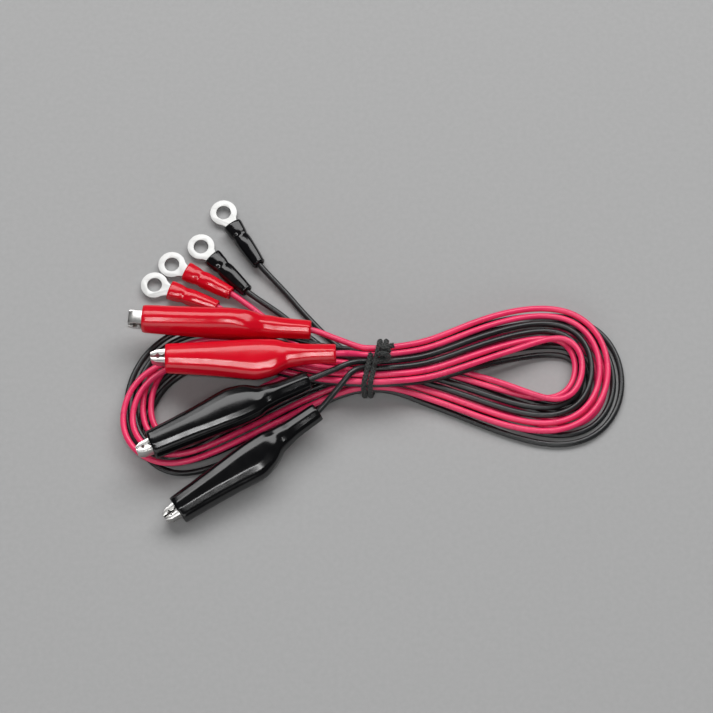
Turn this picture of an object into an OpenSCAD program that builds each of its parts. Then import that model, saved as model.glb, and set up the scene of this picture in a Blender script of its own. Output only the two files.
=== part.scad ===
// A tied hank of four test leads. Two are red and two are black. Each lead has a
// booted alligator clip at one end and a sleeved ring terminal at the other.
// Millimetres, +Z up, the origin under the middle of the bounding box, on the floor.

/* [Wire] */
// outside diameter of the insulated wire
wire_d = 1.7; // [1.5:0.05:1.8]
// diameter of the stripped conductor
core_d = 1.0; // [0.8:0.05:1.1]
// free gap between neighbouring strands in one layer
strand_gap = 0.3; // [0.25:0.05:0.5]
// free gap between two layers of strands
layer_gap = 0.48; // [0.46:0.01:0.6]

/* [Hank] */
// how far the middle strand of the right lobe reaches from the tie
right_reach = 60.5; // [56:0.5:66]
// half width given to the right lobe
right_bulge = 22; // [20.5:0.5:24]
// how far the middle strand of the left lobe reaches from the tie
left_reach = 64; // [58:1:68]
// half width given to the left lobe
left_bulge = 24.5; // [23:0.5:27]
// how far the left lobe leans toward the near side
left_lean = 10; // [7:0.5:12]
// extra spacing between strands out in the lobes
lobe_slack = 0.3; // [0.2:0.05:0.5]
// how much further the under layer of the right lobe reaches
under_reach = 4; // [3:0.5:6]
// how far the two layers of the right lobe lean apart, the under one to the near side
layer_lean = 1.5; // [0.5:0.1:2]

/* [Clip] */
// pivot to jaw tip
jaw_l = 24.6; // [24:0.2:28]
// outside width of the fixed jaw, along the pivot
clip_w = 5; // [4.6:0.1:5.2]
// thickness of the jaw sheet
sheet_t = 0.6; // [0.5:0.05:0.7]
// side gap between the two jaws, and between the teeth of the closed jaws
jaw_gap = 0.15; // [0.1:0.05:0.25]
// teeth notches along each jaw wall
teeth = 8; // [5:1:10]
// pivot rivet diameter
pivot_d = 1.5; // [1.2:0.1:1.7]
// radial running clearance on the rivet
pivot_clear = 0.05; // [0.03:0.01:0.08]
// spring wire diameter
spring_d = 0.5; // [0.4:0.05:0.5]
// outside diameter of the crimp barrel on the clip
clip_barrel_d = 3.2; // [3:0.1:3.4]

/* [Boot] */
// pivot to the mouth of the boot
boot_front = 20.5; // [19:0.5:22]
// pivot to the end of the boot's tail
boot_back = 27; // [25:0.5:30]
// wall of the vinyl boot
boot_wall = 0.8; // [0.6:0.05:0.85]
// outside diameter at the end of the tail
boot_tail_d = 5.4; // [5.2:0.1:6]

/* [Ring terminal] */
// hole for the terminal stud
stud_hole_d = 4.3; // [4.2:0.05:4.5]
// outside diameter of the ring
ring_d = 7.8; // [7.4:0.1:8]
// thickness of the tongue
tongue_t = 0.8; // [0.6:0.1:1]
// outside diameter of the crimp barrel
barrel_d = 3.3; // [3:0.1:3.4]
// length of the crimp barrel
barrel_l = 5.2; // [4.5:0.1:5.5]
// length of the vinyl sleeve over the barrel
sleeve_l = 14.9; // [13.5:0.1:16]
// wall of the vinyl sleeve
sleeve_wall = 0.55; // [0.4:0.05:0.6]

/* [Tie] */
// diameter of the tie cord
tie_d = 1.6; // [1.3:0.1:1.7]
// free gap between the tie and the strands it holds
tie_gap = 0.15; // [0.1:0.05:0.25]
// sideways run of the tie from the near side to the far side
tie_slant = 2.6; // [1.5:0.1:3]

/* [Hidden] */
$fn = 48;

wire_r = wire_d / 2;
col = wire_d + strand_gap;
row = wire_d + layer_gap;
lanes = 6;
mid_lane = (lanes - 1) / 2;
lobe_pitch = col + lobe_slack;
// the waist is held off the floor by the tie passing under it
waist_lift = tie_d + tie_gap + 0.1;
lift_flat = 4;
lift_run = 13;
turns = 3;
turn_rings = 24;

// moves the tie-centred drawing so the origin is under the middle of the box
shift = [0, -4.85, 0];

// where each boot's tail ends, its heading, its dip toward the jaws, the side it opens to,
// and its roll about its own length
R1 = 0;
R2 = 1;
B1 = 2;
B2 = 3;
tail_at = [[-17.8, 9.9, 10.9], [-10.7, 2.1, 12.9], [-18.3, -4.9, 10.7], [-15.8, -13.2, 7.6]];
clip_az = [176, 181.4, 204, 215.5];
clip_dip = [0, 0.8, 0, 4];
clip_side = [1, 1, -1, 1];
clip_roll = [90, 0, 0, 0];
// middle of each ring and the heading of its tongue
ring_at = [[-63.3, 27.2], [-58.5, 33.6], [-50.2, 39.2], [-43.9, 50]];
ring_az = [159, 152, 134, 123];

// every drawn strand of the leads, in the order they were wound
function smooth(t) = let (c = min(1, max(0, t))) c * c * (3 - 2 * c);
function ease(v, a, b) = smooth((v - a) / (b - a));
function mix(a, b, t) = a + (b - a) * t;
function unit(v) = v / norm(v);
function flat(list) = [for (part = list) for (item = part) item];

// teardrop outline of a lobe, from the tie round the end and back to the tie
function round_share(phi) = (1 - cos(phi)) / 2;
function drop(phi, reach, bulge, lean) =
  let (u = round_share(phi))
  [reach * u, bulge * sin(phi) * pow(u, 1.5) - lean * u * u];
function drop_out(phi, reach, bulge, lean) =
  let (d = drop(min(360, phi + 1), reach, bulge, lean) - drop(max(0, phi - 1), reach, bulge, lean))
  unit([-d.y, d.x]);
function in_lane(phi, reach, bulge, lean, lane, stray) =
  let (pitch = mix(col, lobe_pitch, smooth(1.6 * round_share(phi))))
  drop(phi, reach, bulge, lean) + drop_out(phi, reach, bulge, lean) * ((mid_lane - lane) * pitch + stray);
function lift(x) = waist_lift * (1 - smooth((abs(x) - lift_flat) / lift_run));
function height(level, x) = wire_r + level * row + lift(x);

// winding order of a strand gives its lane, outermost first, and its layer
function order(wire, turn) = 4 * turn + wire;
function lane_of(wire, turn) = order(wire, turn) % lanes;
function layer_of(wire, turn) = order(wire, turn) < lanes ? 1 : 0;
// tier a strand holds while it changes lanes round the left end
function tier_of(wire, turn) = turn == 0 && wire < B1 ? 2 : (turn == 1 && wire > R2 ? 0 : 1);

// strands that lie loose of their lanes: wire, turn, the angles where the strand starts to
// leave, is out, starts back and is home, and how far out it lies
right_strays = [
  [B1, 1, 195, 250, 290, 338, 0.8], [B2, 1, 195, 250, 290, 338, 0.3],
  [R1, 1, 170, 225, 250, 300, -0.5], [R2, 1, 100, 176, 205, 272, 4], [B2, 2, 74, 112, 126, 196, -0.4]
];
left_strays = [
  [R1, 0, 115, 160, 185, 222, 1.6], [R2, 0, 115, 160, 185, 222, 1.2],
  [B1, 1, 50, 100, 130, 175, 2.6], [B2, 1, 50, 100, 130, 175, 1.4]
];
function stray(list, wire, turn, phi) =
  let (out = [for (s = list) if (s[0] == wire && s[1] == turn) s[6] * ease(phi, s[2], s[3]) * (1 - ease(phi, s[4], s[5]))])
  len(out) == 0 ? 0 : out[0];

function right_point(wire, turn, phi) =
  let (
    layer = layer_of(wire, turn),
    // one strand crosses over the others round the right end
    over = wire == R2 && turn == 1 ? 1 : 0,
    under = layer == 1 ? 0 : ease(phi, 70, 160) * (1 - ease(phi, 230, 320)),
    p = in_lane(phi, right_reach + under * under_reach, right_bulge + under * under_reach / 3,
                layer == 1 ? -layer_lean : layer_lean, lane_of(wire, turn), stray(right_strays, wire, turn, phi)),
    level = layer + (phi < 180 ? over + (2 - over) * (1 - ease(p.x, 25, right_reach - 8)) : over * ease(p.x, 27, 45))
  )
  [p.x, p.y, height(level, p.x)];

function left_point(wire, turn, phi) =
  let (
    tier = tier_of(wire, turn),
    from = [130, 84, 160][tier],
    to = [228, 168, 236][tier],
    lane = mix(lane_of(wire, turn), lane_of(wire, turn + 1), ease(phi, from, to)),
    rise = mix(layer_of(wire, turn), tier, ease(phi, 76, 110)),
    level = mix(rise, 2 + layer_of(wire, turn + 1), ease(phi, 204, 285)),
    p = in_lane(phi, left_reach, left_bulge, -left_lean, lane, stray(left_strays, wire, turn, phi))
  )
  [-p.x, -p.y, height(level, p.x)];

function pace(share) = 360 * share + 24 * sin(360 * share);

// one lead's hank: three turns round the right lobe joined by two round the left
function hank_path(wire) = flat([
  for (turn = [0 : turns - 1])
    concat(
      [for (i = [(turn == 0 ? 0 : 1) : turn_rings]) right_point(wire, turn, pace(i / turn_rings))],
      turn == turns - 1 ? [] : [for (i = [1 : turn_rings]) left_point(wire, turn, pace(i / turn_rings))]
    )
]);

// rounded curve through hand-placed points
function bow(a, b, c, d, t) =
  0.5 * (2 * b + (c - a) * t + (2 * a - 5 * b + 4 * c - d) * t * t + (3 * b - a - 3 * c + d) * t * t * t);
function curve(pts, steps) =
  let (
    n = len(pts),
    all = concat([2 * pts[0] - pts[1]], pts, [2 * pts[n - 1] - pts[n - 2]])
  )
  concat(flat([
    for (k = [0 : n - 2])
      [for (s = [0 : steps - 1]) bow(all[k], all[k + 1], all[k + 2], all[k + 3], s / steps)]
  ]), [pts[n - 1]]);

// round tube along a path; ref is any direction the path never follows
function path_dir(path, i) =
  unit(path[min(len(path) - 1, i + 1)] - path[max(0, i - 1)]);
module tube(path, d, sides, ref, first, last) {
  n = len(path);
  dirs = [for (i = [0 : n - 1]) i == 0 ? first : (i == n - 1 ? last : path_dir(path, i))];
  pts = flat([
    for (i = [0 : n - 1])
      let (across = unit(cross(ref, dirs[i])), up = cross(dirs[i], across))
      [for (k = [0 : sides - 1])
        let (a = 90 + 360 * k / sides)
        path[i] + d / 2 * (across * cos(a) + up * sin(a))]
  ]);
  walls = flat([
    for (i = [0 : n - 2])
      [for (k = [0 : sides - 1])
        let (m = (k + 1) % sides)
        [i * sides + k, (i + 1) * sides + k, (i + 1) * sides + m, i * sides + m]]
  ]);
  caps = [[for (k = [0 : sides - 1]) k], [for (k = [sides - 1 : -1 : 0]) (n - 1) * sides + k]];
  polyhedron(points = pts, faces = concat(walls, caps), convexity = 10);
}

// hollow skin through rounded sections [x, minus y, plus y, half z], wall thick
function round_corner(c, squareness) = sign(c) * pow(abs(c), 2 / squareness);
function section(s, wall, sides, squareness) = [
  for (k = [0 : sides - 1])
    let (c = round_corner(cos(360 * k / sides), squareness), e = round_corner(sin(360 * k / sides), squareness))
    [s[0], c * ((c < 0 ? s[1] : s[2]) - wall), e * (s[3] - wall)]
];
module skin(sections, wall, sides, squareness) {
  n = len(sections);
  outside = flat([for (s = sections) section(s, 0, sides, squareness)]);
  inside = flat([for (s = sections) section(s, wall, sides, squareness)]);
  in0 = n * sides;
  outer_walls = flat([
    for (i = [0 : n - 2])
      [for (k = [0 : sides - 1])
        let (m = (k + 1) % sides)
        [i * sides + k, i * sides + m, (i + 1) * sides + m, (i + 1) * sides + k]]
  ]);
  inner_walls = flat([
    for (i = [0 : n - 2])
      [for (k = [0 : sides - 1])
        let (m = (k + 1) % sides)
        [in0 + i * sides + k, in0 + (i + 1) * sides + k, in0 + (i + 1) * sides + m, in0 + i * sides + m]]
  ]);
  z = (n - 1) * sides;
  lips = flat([
    for (k = [0 : sides - 1])
      let (m = (k + 1) % sides)
      [[k, in0 + k, in0 + m, m], [z + k, z + m, in0 + z + m, in0 + z + k]]
  ]);
  polyhedron(points = concat(outside, inside), faces = concat(outer_walls, inner_walls, lips), convexity = 10);
}

// places a clip drawn about its pivot, +x to the tips, +y to the opening side
function heading(az, dip) = [cos(az) * cos(dip), sin(az) * cos(dip), -sin(dip)];
module at_clip(wire) {
  translate(shift + tail_at[wire] + boot_back * heading(clip_az[wire], clip_dip[wire]))
    rotate([0, clip_dip[wire], clip_az[wire]])
      rotate([clip_roll[wire], 0, 0])
        mirror([0, clip_side[wire] < 0 ? 1 : 0, 0])
          children();
}
// the axis of the terminals lies above the floor by the sleeve's half height
sleeve_half = barrel_d / 2 + 0.1 + sleeve_wall;
module at_ring(wire) {
  translate(shift + [ring_at[wire].x, ring_at[wire].y, sleeve_half])
    rotate([0, 0, ring_az[wire]])
      children();
}

// clip parts, drawn about the pivot
jaw_h = 2.8;
ear_up = 1.6;
barrel_front = 15;
clip_barrel_l = 7;
arm_w = 2.8;
moving_w = clip_w - 2 * (sheet_t + jaw_gap);
notch_pitch = (jaw_l - 8) / teeth;

// outline of one jaw seen along the pivot; near is the edge that meets the other jaw
module jaw_side(back, ear) {
  polygon([
    [back, jaw_h], [14, jaw_h - 0.3], [jaw_l - 1.5, jaw_h - 1.2], [jaw_l, jaw_h - 1.9],
    [jaw_l, jaw_gap], [6, jaw_gap], [4.8, -ear], [-2, -ear], [back, 0.6]
  ]);
}
module jaw_channel(width, back, ear) {
  difference() {
    translate([0, 0, -width / 2])
      linear_extrude(width)
        jaw_side(back, ear);
    // hollow between the two walls, leaving the back of the channel and the tip
    translate([0, 0, -width / 2 + sheet_t])
      linear_extrude(width - 2 * sheet_t)
        polygon([
          [back - 1, jaw_h - sheet_t], [14, jaw_h - 0.3 - sheet_t], [jaw_l - 1.9, jaw_h - 1.3 - sheet_t],
          [jaw_l - sheet_t, jaw_h - 2 - sheet_t], [jaw_l - sheet_t, -ear - 1], [back - 1, -ear - 1]
        ]);
    for (i = [0 : teeth - 1])
      translate([jaw_l - 1 - (i + 0.5) * notch_pitch, jaw_gap, 0])
        rotate([0, 0, 45])
          cube([0.9, 0.9, width + 2], center = true);
    cylinder(d = pivot_d + 2 * pivot_clear, h = width + 2, center = true);
  }
}
module fixed_jaw_shape() {
  mirror([0, 1, 0])
    jaw_channel(clip_w, -6, ear_up);
  // arm from the channel to the crimp barrel
  difference() {
    union() {
      translate([0, 0, -arm_w / 2])
        linear_extrude(arm_w)
          polygon([
            [-5, -jaw_h], [-12.5, -jaw_h], [-barrel_front, -clip_barrel_d / 2], [-barrel_front - 1, -clip_barrel_d / 2],
            [-barrel_front - 1, -clip_barrel_d / 2 + sheet_t], [-barrel_front + 0.2, -clip_barrel_d / 2 + sheet_t],
            [-12.3, -jaw_h + sheet_t], [-5, -jaw_h + sheet_t]
          ]);
      translate([-barrel_front - clip_barrel_l, 0, 0])
        rotate([0, 90, 0])
          cylinder(d = clip_barrel_d, h = clip_barrel_l);
    }
    translate([-barrel_front - clip_barrel_l - 1, 0, 0])
      rotate([0, 90, 0])
        cylinder(d = wire_d + 0.2, h = clip_barrel_l + 2);
    // crimp dent across the barrel
    translate([-barrel_front - 1.6, clip_barrel_d / 2 + 0.75, 0])
      cylinder(r = 1.1, h = clip_barrel_d + 2, center = true);
  }
}
module moving_jaw_shape() {
  jaw_channel(moving_w, -4, 1.3);
  // thumb plate flaring away from the axis
  translate([0, 0, -moving_w / 2])
    linear_extrude(moving_w)
      polygon([
        [-2.5, jaw_h], [-3.6, jaw_h + 0.4], [-5.4, jaw_h + 2.4], [-10.8, jaw_h + 0.7], [-10.8, jaw_h],
        [-5.6, jaw_h + 1.7], [-4.3, jaw_h + 0.1], [-3.4, jaw_h - sheet_t], [-2.5, jaw_h - sheet_t]
      ]);
}
module rivet_shape() {
  cylinder(d = pivot_d, h = clip_w + 0.2, center = true);
  for (s = [-1, 1])
    translate([0, 0, s * (clip_w / 2 + 0.2)])
      cylinder(d = pivot_d + 0.9, h = 0.4, center = true);
}
// torsion spring round the rivet with a leg on each jaw
spring_r = pivot_d / 2 + pivot_clear + 0.2 + spring_d / 2;
spring_from = -86;
spring_to = 82 + 720;
spring_rise = 2.5 * (spring_d + 0.1);
function spring_dir(a) = [-sin(a), cos(a), 0];
function spring_spot(a) =
  [spring_r * cos(a), spring_r * sin(a), spring_rise * ((a - spring_from) / (spring_to - spring_from) - 0.5)];
function spring_path() = concat(
  [spring_spot(spring_from) - 6.5 * spring_dir(spring_from), spring_spot(spring_from) - 3 * spring_dir(spring_from)],
  [for (i = [0 : 26]) spring_spot(mix(spring_from, spring_to, i / 26))],
  [spring_spot(spring_to) + 3 * spring_dir(spring_to), spring_spot(spring_to) + 6 * spring_dir(spring_to)]
);
module spring_shape() {
  tube(spring_path(), spring_d, 6, [0, 0, 1], spring_dir(spring_from), spring_dir(spring_to));
}
// boot sections from the mouth to the tail
boot_tail_r = boot_tail_d / 2;
boot_sections = [
  [boot_front, 4, 4.3, 3.8], [boot_front - 1.5, 4.05, 4.4, 3.9], [12, 4.2, 5, 4], [3, 4.45, 6, 4.1],
  [-2, 4.6, 6.7, 4.15], [-5, 4.65, 6.9, 4.1], [-8, 4.55, 6.2, 4], [-11, 4.3, 5.1, 3.85], [-13.5, 3.8, 4.3, 3.6],
  [-16, 3.2, 3.5, 3.25], [-18.5, 3, 3, 3], [-boot_back + 1, boot_tail_r + 0.05, boot_tail_r + 0.05, boot_tail_r + 0.05],
  [-boot_back, boot_tail_r, boot_tail_r, boot_tail_r]
];
module boot_shape() {
  // the skin's faces run from the tail to the mouth
  skin([for (i = [len(boot_sections) - 1 : -1 : 0]) boot_sections[i]], boot_wall, 20, 3);
}

// ring terminal parts, drawn about the middle of the stud hole on the barrel's axis
barrel_at = 5.6;
// the tongue is set up from the bottom of the barrel, clear of the sleeve
tongue_z = -barrel_d / 2 + 0.45;
neck_from = stud_hole_d / 2 + 0.55;
sleeve_at = 4.9;
module ring_shape() {
  difference() {
    union() {
      translate([0, 0, tongue_z])
        cylinder(d = ring_d, h = tongue_t);
      translate([0, 0, tongue_z])
        linear_extrude(tongue_t)
          polygon([
            [-neck_from, 2.6], [-4.4, 1.7], [-barrel_at - 1, 1.3],
            [-barrel_at - 1, -1.3], [-4.4, -1.7], [-neck_from, -2.6]
          ]);
      translate([-barrel_at - barrel_l, 0, 0])
        rotate([0, 90, 0])
          cylinder(d = barrel_d, h = barrel_l);
    }
    translate([0, 0, tongue_z - 1])
      cylinder(d = stud_hole_d, h = tongue_t + 2);
    translate([-barrel_at - barrel_l - 1, 0, 0])
      rotate([0, 90, 0])
        cylinder(d = core_d + 0.4, h = barrel_l + 1.1);
    // crimp dent across the top of the barrel
    translate([-barrel_at - barrel_l / 2, 0, barrel_d / 2 + 0.6])
      rotate([90, 0, 0])
        cylinder(r = 1, h = barrel_d + 2, center = true);
  }
}
sleeve_end = sleeve_at + sleeve_l;
sleeve_tail = wire_r + 0.45 + sleeve_wall;
sleeve_sections = [
  [-sleeve_end, sleeve_tail, sleeve_tail, sleeve_tail],
  [-sleeve_end + 3.5, sleeve_tail + 0.35, sleeve_tail + 0.35, sleeve_tail + 0.3],
  [-barrel_at - barrel_l - 0.8, sleeve_half + 0.15, sleeve_half + 0.15, sleeve_half],
  [-barrel_at - barrel_l / 2, sleeve_half + 0.3, sleeve_half + 0.3, sleeve_half],
  [-sleeve_at - 1.2, sleeve_half + 0.5, sleeve_half + 0.5, sleeve_half],
  [-sleeve_at, sleeve_half + 0.6, sleeve_half + 0.6, sleeve_half]
];
module sleeve_shape() {
  skin(sleeve_sections, sleeve_wall, 16, 2.3);
}

// free stretches: from the tie to the clip, and from the tie to the ring
function clip_axis(wire) = heading(clip_az[wire], clip_dip[wire]);
wire_in_clip = barrel_front + 4;
wire_in_ring = barrel_at + barrel_l + 0.2;
function waist_far(wire) = [0, (mid_lane - lane_of(wire, 0)) * col, height(3, 0)];
function waist_near(wire) = [0, -(mid_lane - lane_of(wire, 2)) * col, height(0, 0)];
clip_bends = [
  [[-4, 5.3, 9.4], [-11, 7.6, 10.3]],
  [[-3.5, 3, 9.6], [-7, 2.7, 11.4]],
  [[-3, 1, 9.5], [-6.5, 0.1, 10.9], [-12, -2.3, 11]],
  [[-3, -0.9, 9.7], [-6.2, -2.7, 11.3], [-10.2, -7.2, 10.1]]
];
ring_bends = [
  [[-4, -1, 2.5], [-8, -0.7, 2.1], [-14, 1.2, 1.1], [-22, 5, 0.95], [-32, 11.4, 1]],
  [[-4, 1, 2.5], [-8, 1.5, 2.1], [-14, 4, 1.1], [-22, 9.2, 0.85], [-31, 17, 1.1]],
  [[-4, 3.1, 2.5], [-8, 4, 2.1], [-13, 7, 1.2], [-20, 12.6, 0.9], [-27, 18.4, 1.2]],
  [[-4, 5.3, 2.5], [-8, 6.8, 2.1], [-13, 11, 1.2], [-20, 18.6, 0.9], [-25.5, 25, 1.4]]
];
function ring_dir(wire) = [cos(ring_az[wire]), sin(ring_az[wire]), 0];
function ring_spot(wire, back) =
  [ring_at[wire].x, ring_at[wire].y, sleeve_half] - back * ring_dir(wire);
function clip_lead_path(wire) = curve(concat(
  [waist_far(wire)], clip_bends[wire],
  [tail_at[wire], tail_at[wire] + (boot_back - wire_in_clip) * clip_axis(wire)]
), 3);
function ring_lead_path(wire) = curve(concat(
  [waist_near(wire)], ring_bends[wire],
  [ring_spot(wire, sleeve_end), ring_spot(wire, wire_in_ring)]
), 3);

module hank(wire) {
  translate(shift)
    tube(hank_path(wire), wire_d, 6, [0, 0, 1], [1, 0, 0], [-1, 0, 0]);
}
module clip_lead(wire) {
  translate(shift)
    tube(clip_lead_path(wire), wire_d, 8, [0, 0, 1], [-1, 0, 0], clip_axis(wire));
}
module ring_lead(wire) {
  translate(shift)
    tube(ring_lead_path(wire), wire_d, 8, [0, 0, 1], [-1, 0, 0], ring_dir(wire));
}

// stripped conductor ends held in the crimp barrels
module conductor_shape() {
  for (wire = [R1 : B2]) {
    at_clip(wire)
      translate([-wire_in_clip, 0, 0])
        rotate([0, 90, 0])
          cylinder(d = core_d, h = wire_in_clip - barrel_front + 1, $fn = 24);
    at_ring(wire)
      translate([-wire_in_ring, 0, 0])
        rotate([0, 90, 0])
          cylinder(d = core_d, h = barrel_l - 0.1, $fn = 24);
  }
}

// tie: two turns round the waist, as a rounded rectangle that climbs along the hank
tie_off = wire_r + tie_gap + tie_d / 2;
tie_half_y = mid_lane * col;
tie_low = height(0, 0);
tie_top = height(3, 0) + 0.4;
tie_half_z = (tie_top - tie_low) / 2;
tie_arc = tie_off * PI / 2;
tie_len = 4 * tie_half_y + 4 * tie_half_z + 4 * tie_arc;
tie_pitch = tie_d + 0.15;
// spot at a distance along the outline, starting at the top far corner and going near
function tie_leg(s, turn) =
  turn == 0 ? (s < 2 * tie_half_y ? [tie_half_y - s, tie_half_z + tie_off]
              : let (a = 90 + (s - 2 * tie_half_y) / tie_arc * 90)
                [-tie_half_y + tie_off * cos(a), tie_half_z + tie_off * sin(a)])
  : turn == 1 ? (s < 2 * tie_half_z ? [-tie_half_y - tie_off, tie_half_z - s]
              : let (a = 180 + (s - 2 * tie_half_z) / tie_arc * 90)
                [-tie_half_y + tie_off * cos(a), -tie_half_z + tie_off * sin(a)])
  : turn == 2 ? (s < 2 * tie_half_y ? [-tie_half_y + s, -tie_half_z - tie_off]
              : let (a = 270 + (s - 2 * tie_half_y) / tie_arc * 90)
                [tie_half_y + tie_off * cos(a), -tie_half_z + tie_off * sin(a)])
  : (s < 2 * tie_half_z ? [tie_half_y + tie_off, -tie_half_z + s]
              : let (a = (s - 2 * tie_half_z) / tie_arc * 90)
                [tie_half_y + tie_off * cos(a), tie_half_z + tie_off * sin(a)]);
function tie_spot(share) =
  let (
    s = (share - floor(share)) * tie_len,
    a = 2 * tie_half_y + tie_arc,
    b = a + 2 * tie_half_z + tie_arc,
    c = b + a,
    turn = s < a ? 0 : (s < b ? 1 : (s < c ? 2 : 3)),
    yz = tie_leg(s - [0, a, b, c][turn], turn)
  )
  [tie_pitch * (share - 1) + tie_slant * yz[0] / (2 * tie_half_y), yz[0], yz[1] + (tie_top + tie_low) / 2];
tie_rings = 64;
tie_path = [for (i = [0 : tie_rings]) tie_spot(mix(0.05, 2.1, i / tie_rings))];
module tie_shape() {
  translate(shift)
    tube(tie_path, tie_d, 6, [1, 0, 0], path_dir(tie_path, 0), path_dir(tie_path, tie_rings));
}
// knot: a short coil of the same cord on top of the tie, with its two ends
knot_r = tie_d / 2 + 0.35;
knot_at = [2.8, 1.6, tie_top + tie_off + tie_d + 0.2 + knot_r];
knot_pitch = tie_d + 0.15;
function knot_spot(a) = knot_at + [knot_r * sin(a), knot_pitch * (a / 360 - 0.8), -knot_r * cos(a)];
function knot_run(a) = unit([knot_r * cos(a), knot_pitch / 2 / PI, knot_r * sin(a)]);
knot_from = 10;
knot_to = 726;
function knot_path() = concat(
  [knot_spot(knot_from) - 3.2 * knot_run(knot_from), knot_spot(knot_from) - 1.4 * knot_run(knot_from)],
  [for (i = [0 : 24]) knot_spot(mix(knot_from, knot_to, i / 24))],
  [knot_spot(knot_to) + 1.4 * knot_run(knot_to), knot_spot(knot_to) + 2.6 * knot_run(knot_to)]
);
module knot_shape() {
  translate(shift)
    tube(knot_path(), tie_d, 6, [0, 1, 0], knot_run(knot_from), knot_run(knot_to));
}

// least free gap of each hank to itself, over spots more than a quarter turn apart
apart = turn_rings / 4;
function self_gap(path) = min([
  for (i = [0 : len(path) - 1 - apart]) for (j = [i + apart : len(path) - 1]) norm(path[i] - path[j])
]) - wire_d;
function run_length(path) = let (n = len(path)) [for (i = [1 : n - 1]) norm(path[i] - path[i - 1])] * [for (i = [1 : n - 1]) 1];
for (wire = [R1 : B2])
  echo(wire = wire, hank_gap = self_gap(hank_path(wire)),
       lead = run_length(hank_path(wire)) + run_length(clip_lead_path(wire)) + run_length(ring_lead_path(wire)));

red_wire = "#c8284e";
black_wire = "#26282a";
red_vinyl = "#c30f1c";
black_vinyl = "#141416";
nickel = "#c9ccd0";
tin = "#e4e5e4";
copper = "#b5744a";

module red_1_hank() { color(red_wire) hank(R1); }
module red_2_hank() { color(red_wire) hank(R2); }
module black_1_hank() { color(black_wire) hank(B1); }
module black_2_hank() { color(black_wire) hank(B2); }
module red_1_clip_lead() { color(red_wire) clip_lead(R1); }
module red_2_clip_lead() { color(red_wire) clip_lead(R2); }
module black_1_clip_lead() { color(black_wire) clip_lead(B1); }
module black_2_clip_lead() { color(black_wire) clip_lead(B2); }
module red_1_ring_lead() { color(red_wire) ring_lead(R1); }
module red_2_ring_lead() { color(red_wire) ring_lead(R2); }
module black_1_ring_lead() { color(black_wire) ring_lead(B1); }
module black_2_ring_lead() { color(black_wire) ring_lead(B2); }
module red_1_boot() { color(red_vinyl) at_clip(R1) boot_shape(); }
module red_2_boot() { color(red_vinyl) at_clip(R2) boot_shape(); }
module black_1_boot() { color(black_vinyl) at_clip(B1) boot_shape(); }
module black_2_boot() { color(black_vinyl) at_clip(B2) boot_shape(); }
module red_1_fixed_jaw() { color(nickel) at_clip(R1) fixed_jaw_shape(); }
module red_2_fixed_jaw() { color(nickel) at_clip(R2) fixed_jaw_shape(); }
module black_1_fixed_jaw() { color(nickel) at_clip(B1) fixed_jaw_shape(); }
module black_2_fixed_jaw() { color(nickel) at_clip(B2) fixed_jaw_shape(); }
module red_1_moving_jaw() { color(nickel) at_clip(R1) moving_jaw_shape(); }
module red_2_moving_jaw() { color(nickel) at_clip(R2) moving_jaw_shape(); }
module black_1_moving_jaw() { color(nickel) at_clip(B1) moving_jaw_shape(); }
module black_2_moving_jaw() { color(nickel) at_clip(B2) moving_jaw_shape(); }
module red_1_rivet() { color(nickel) at_clip(R1) rivet_shape(); }
module red_2_rivet() { color(nickel) at_clip(R2) rivet_shape(); }
module black_1_rivet() { color(nickel) at_clip(B1) rivet_shape(); }
module black_2_rivet() { color(nickel) at_clip(B2) rivet_shape(); }
module red_1_spring() { color(nickel) at_clip(R1) spring_shape(); }
module red_2_spring() { color(nickel) at_clip(R2) spring_shape(); }
module black_1_spring() { color(nickel) at_clip(B1) spring_shape(); }
module black_2_spring() { color(nickel) at_clip(B2) spring_shape(); }
module red_1_ring() { color(tin) at_ring(R1) ring_shape(); }
module red_2_ring() { color(tin) at_ring(R2) ring_shape(); }
module black_1_ring() { color(tin) at_ring(B1) ring_shape(); }
module black_2_ring() { color(tin) at_ring(B2) ring_shape(); }
module red_1_sleeve() { color(red_vinyl) at_ring(R1) sleeve_shape(); }
module red_2_sleeve() { color(red_vinyl) at_ring(R2) sleeve_shape(); }
module black_1_sleeve() { color(black_vinyl) at_ring(B1) sleeve_shape(); }
module black_2_sleeve() { color(black_vinyl) at_ring(B2) sleeve_shape(); }
module conductor_ends() { color(copper) conductor_shape(); }
module tie() { color(black_wire) tie_shape(); }
module tie_knot() { color(black_wire) knot_shape(); }

red_1_hank();
red_2_hank();
black_1_hank();
black_2_hank();
red_1_clip_lead();
red_2_clip_lead();
black_1_clip_lead();
black_2_clip_lead();
red_1_ring_lead();
red_2_ring_lead();
black_1_ring_lead();
black_2_ring_lead();
red_1_boot();
red_2_boot();
black_1_boot();
black_2_boot();
red_1_fixed_jaw();
red_2_fixed_jaw();
black_1_fixed_jaw();
black_2_fixed_jaw();
red_1_moving_jaw();
red_2_moving_jaw();
black_1_moving_jaw();
black_2_moving_jaw();
red_1_rivet();
red_2_rivet();
black_1_rivet();
black_2_rivet();
red_1_spring();
red_2_spring();
black_1_spring();
black_2_spring();
red_1_ring();
red_2_ring();
black_1_ring();
black_2_ring();
red_1_sleeve();
red_2_sleeve();
black_1_sleeve();
black_2_sleeve();
conductor_ends();
tie();
tie_knot();
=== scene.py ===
"""Looks for a tied hank of four test leads: two red, two black, each with a booted
alligator clip at one end and a sleeved ring terminal at the other."""
import math

import bmesh
import bpy
import numpy as np
from mathutils import Matrix, Vector


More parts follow.
